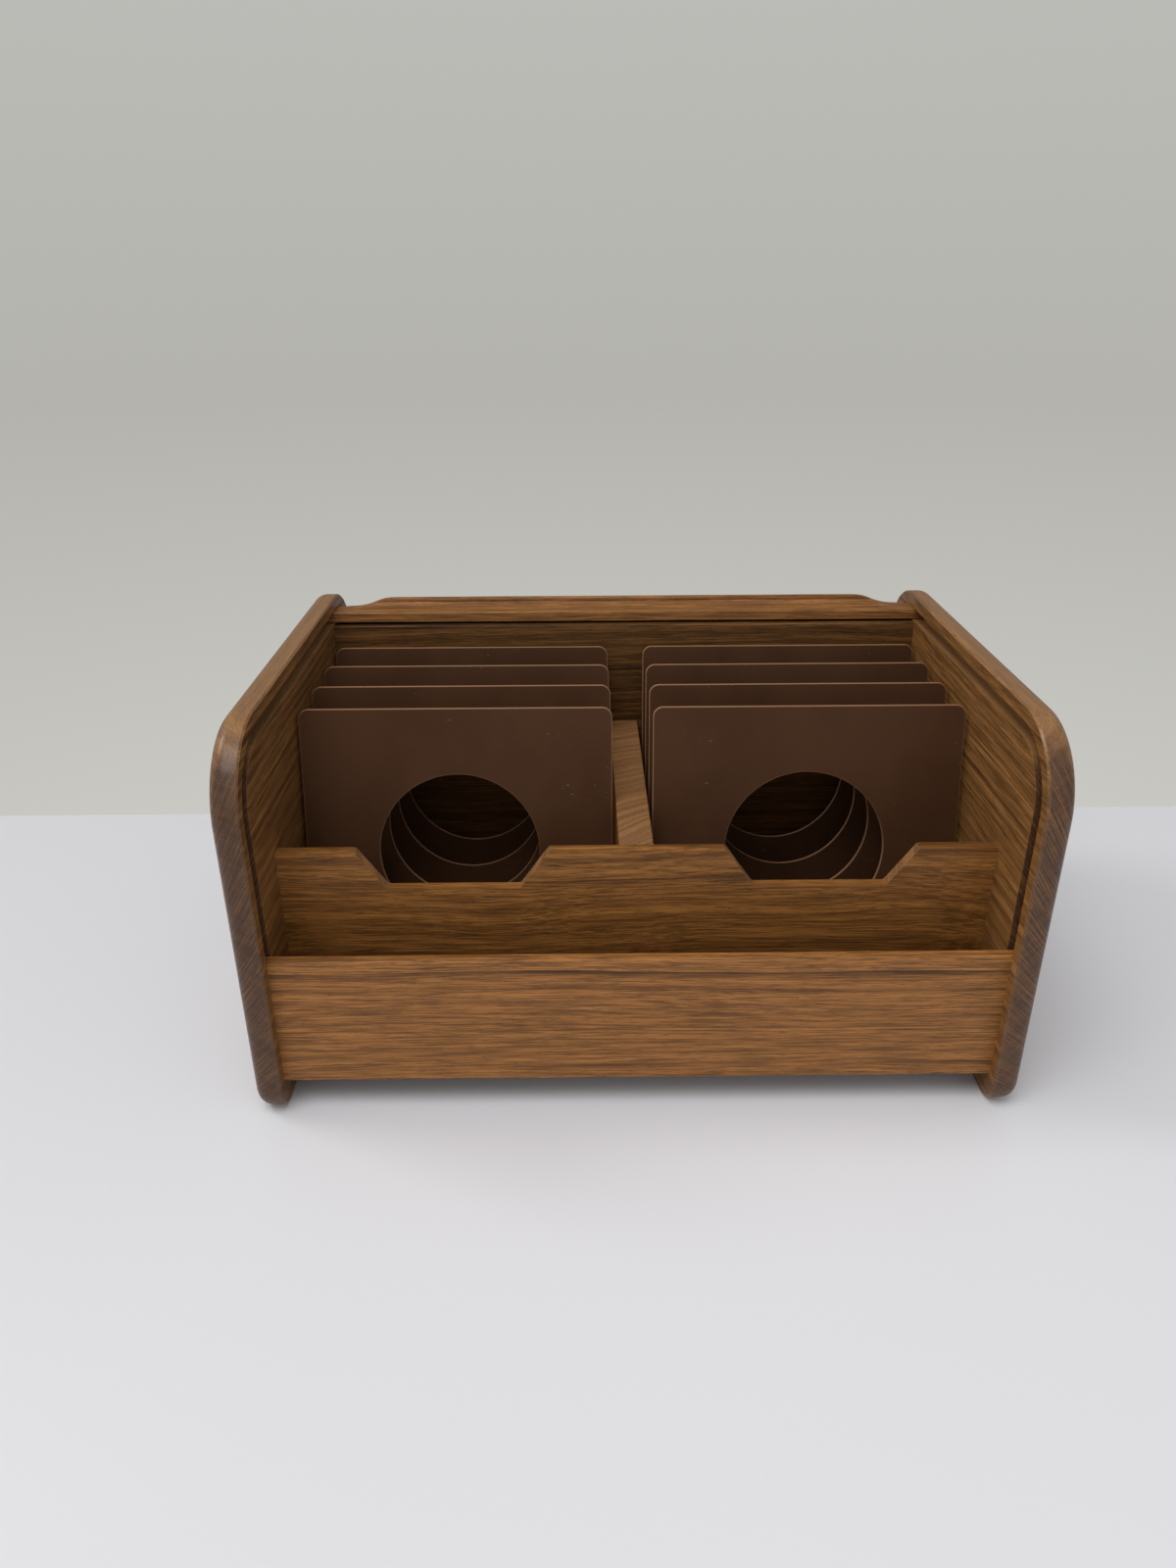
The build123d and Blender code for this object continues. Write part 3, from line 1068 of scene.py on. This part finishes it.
@dataclass
class Dividers:
    """Two rows of brown plastic plates, each with a round hole."""

    finish: Plastic = Plastic(
        "divider_plastic_skin",
        body=(0.062, 0.0265, 0.0118),
        edge_tone=(0.300, 0.165, 0.088),
        dust=(0.290, 0.220, 0.170),
    )

    def build(self) -> None:
        """Dress every plate in the same plastic."""
        material = plastic_material(self.finish)
        plates = sorted(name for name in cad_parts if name.startswith("divider_"))
        for node in plates:
            dress(node, material)
        log.info("dressed %d dividers", len(plates))


@dataclass
class Lamp:
    """A square soft lamp that points at a spot."""

    name: str
    place: Triple
    size: float
    watts: float
    colour: Colour = (1.0, 1.0, 1.0)
    target: Triple = (0.0, 0.0, 0.05)

    def build(self) -> None:
        """Hang the lamp."""
        data = bpy.data.lights.new(self.name, "AREA")
        data.shape = "SQUARE"
        data.size = self.size
        data.energy = self.watts
        data.color = self.colour
        lamp = bpy.data.objects.new(self.name, data)
        bpy.context.scene.collection.objects.link(lamp)
        place = Vector(self.place)
        turn = (Vector(self.target) - place).to_track_quat("-Z", "Y").to_matrix().to_4x4()
        lamp.matrix_world = Matrix.Translation(place) @ turn


@dataclass
class Studio:
    """Camera, pale table, plain wall colour and soft lamps. Angles are in degrees."""

    camera_place: Triple = (-0.0241, -0.4787, 0.3319)
    pitch_down: float = 25.53
    yaw: float = 0.477
    roll: float = 0.244
    lens: float = 24.975
    film: float = 36.0
    nearest: float = 0.01
    table_back: float = 0.174
    table_reach: float = 1.6
    table_colour: Colour = (0.835, 0.840, 0.865)
    table_dimming: float = 0.865
    table_span: float = 0.45
    cloud_size: float = 0.30
    cloud_drift: float = 0.10
    table_roughness: float = 0.38
    wall_high: Colour = (0.50, 0.505, 0.475)
    wall_middle: Colour = (0.455, 0.450, 0.420)
    wall_low: Colour = (0.60, 0.595, 0.560)
    wall_span: Pair = (-0.46, 0.20)
    wall_middle_at: float = 0.55
    light_front: Colour = (0.74, 0.74, 0.75)
    light_back: Colour = (0.18, 0.18, 0.185)

    def build_camera(self) -> None:
        """Place the camera that took the picture."""
        data = bpy.data.cameras.new("camera")
        data.lens = self.lens
        data.sensor_width = self.film
        data.clip_start = self.nearest
        camera = bpy.data.objects.new("camera", data)
        bpy.context.scene.collection.objects.link(camera)
        heading = Matrix.Rotation(math.radians(-self.yaw), 4, "Z")
        tilt = Matrix.Rotation(math.radians(90 - self.pitch_down), 4, "X")
        level = Matrix.Rotation(math.radians(-self.roll), 4, "Z")
        camera.matrix_world = Matrix.Translation(Vector(self.camera_place)) @ heading @ tilt @ level
        bpy.context.scene.camera = camera

    def table_material(self) -> bpy.types.Material:
        """Build the white of the table, which dims a little towards the left as painted shade.

        Returns:
            The material.
        """
        skin = Skin("table_white")
        place = skin.source("Object")
        cloud = skin.noise(place, (self.cloud_size,) * 3)
        sideways = skin.math("MULTIPLY_ADD", cloud, self.cloud_drift, skin.split(place)["X"])
        # Dimmer towards the left: painted shade, for light that is stronger on the right
        dim = tuple(part * self.table_dimming for part in self.table_colour)
        towards_right = skin.span(sideways, (-self.table_span, self.table_span))
        skin.give(
            Base_Color=skin.mix(towards_right, dim, self.table_colour),
            Roughness=self.table_roughness,
        )
        return skin.material

    def build_table(self) -> None:
        """Model the table top, which ends at the wall."""
        deselect()
        bpy.ops.mesh.primitive_plane_add(size=2 * self.table_reach)
        table = bpy.context.object
        table.name = "table"
        bpy.ops.object.mode_set(mode="EDIT")
        bpy.ops.transform.translate(value=(0, self.table_back - self.table_reach, 0))
        bpy.ops.object.mode_set(mode="OBJECT")
        table.data.materials.append(self.table_material())

    def build_world(self) -> None:
        """Light everything softly, most from the front, and show the plain wall past the table."""
        world = bpy.data.worlds.new("plain_wall")
        world.use_nodes = True
        bpy.context.scene.world = world
        board = NodeBoard(world.node_tree)
        direction = board.split(board.source("Generated"))

        # The wall's shading by height is painted light and shade, paler low down near the table
        height = board.span(direction["Z"], self.wall_span, way="LINEAR")
        shown = board.nodes["Background"]
        between = {self.wall_middle_at: self.wall_middle}
        wall = board.ramp(height, self.wall_low, self.wall_high, between)
        board.feed(shown.inputs["Color"], wall)

        depth = board.span(direction["Y"], (-1.0, 1.0), way="LINEAR")
        lit = board.add("Background")
        board.feed(lit.inputs["Color"], board.ramp(depth, self.light_front, self.light_back, {}))

        rays = board.add("LightPath").outputs
        seen = board.math("MAXIMUM", rays["Is Camera Ray"], rays["Is Transmission Ray"])
        either = board.add("MixShader")
        for socket, value in zip(either.inputs, (seen, lit.outputs[0], shown.outputs[0])):
            board.feed(socket, value)
        board.feed(board.nodes["World Output"].inputs["Surface"], either.outputs[0])

    def lamps(self) -> list[Lamp]:
        """The soft lamps: one high on the left and one overhead.

        Returns:
            The lamps.
        """
        return [
            Lamp("lamp_left", (-1.45, 0.30, 1.50), size=0.60, watts=8.0, colour=(1.0, 0.985, 0.96)),
            Lamp("lamp_over", (-0.35, -0.62, 1.55), size=1.00, watts=12.3),
        ]

    def build(self) -> None:
        """Set up everything round the box."""
        self.build_camera()
        self.build_table()
        self.build_world()
        for lamp in self.lamps():
            lamp.build()
        bpy.context.scene.view_settings.view_transform = "Standard"
        log.info("set up the camera, the table and %d lamps", len(self.lamps()))


def main() -> None:
    """Build the studio and every sub-assembly in order."""
    logging.basicConfig(level=logging.INFO, format="%(name)s: %(message)s")
    Studio().build()
    Case().build()
    Curtain().build()
    Dividers().build()


if __name__ == "__main__":
    main()
